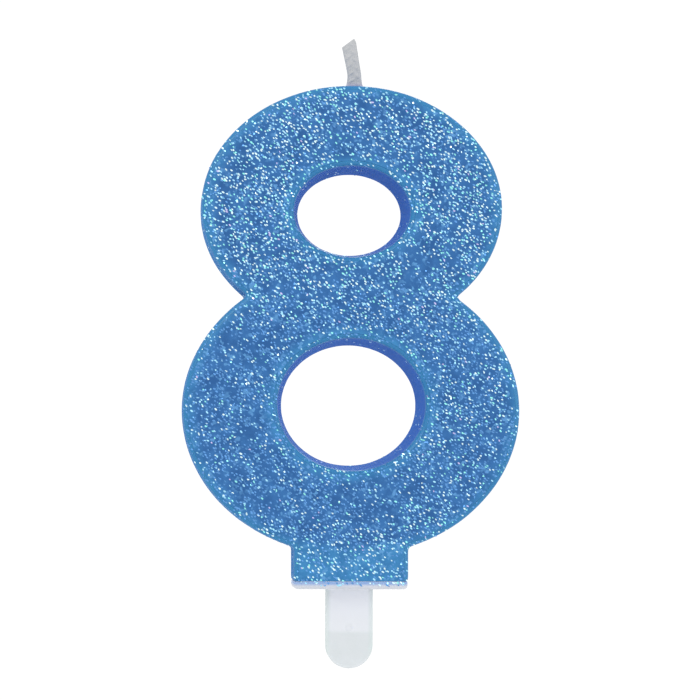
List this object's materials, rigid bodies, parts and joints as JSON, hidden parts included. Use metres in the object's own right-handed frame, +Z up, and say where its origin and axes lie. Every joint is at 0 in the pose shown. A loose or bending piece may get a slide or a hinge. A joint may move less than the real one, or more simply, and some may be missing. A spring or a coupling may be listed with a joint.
{
  "type": "number birthday candle",
  "caption": "Moulded wax numeral birthday candle with glitter faces and a braided wick, on a plastic holder whose flat blade is pushed into a cake.",
  "frame": {"origin": "middle of the underside of the holder's plate, where the blade that goes into the cake begins", "axes": "+Z up, from the blade towards the wick; -Y out of the numeral's front face; +X to the right seen from the front"},
  "size_m": [0.0505, 0.01, 0.095],
  "materials": {
    "blue_wax": "satin",
    "glitter_lacquer": "gloss",
    "cotton_wick": "matte",
    "frosted_plastic": "satin"
  },
  "bodies": {
    "holder": {"cake_holder": "frosted_plastic"},
    "candle": {"wax_number": "blue_wax", "front_glitter_coat": "glitter_lacquer", "back_glitter_coat": "glitter_lacquer", "wick_root": "cotton_wick"},
    "wick_end": {"wick_end": "cotton_wick"}
  },
  "joints": [
    {"name": "candle_lift", "type": "slide", "parent": "holder", "child": "candle", "axis": [0, 0, 1], "range_m": [0, 0.0125]},
    {"name": "wick_bend", "type": "hinge", "parent": "candle", "child": "wick_end", "pos_m": [0.0005, 0, 0.0775], "axis": [0, 1, 0], "range_deg": [-50, 70]}
  ]
}
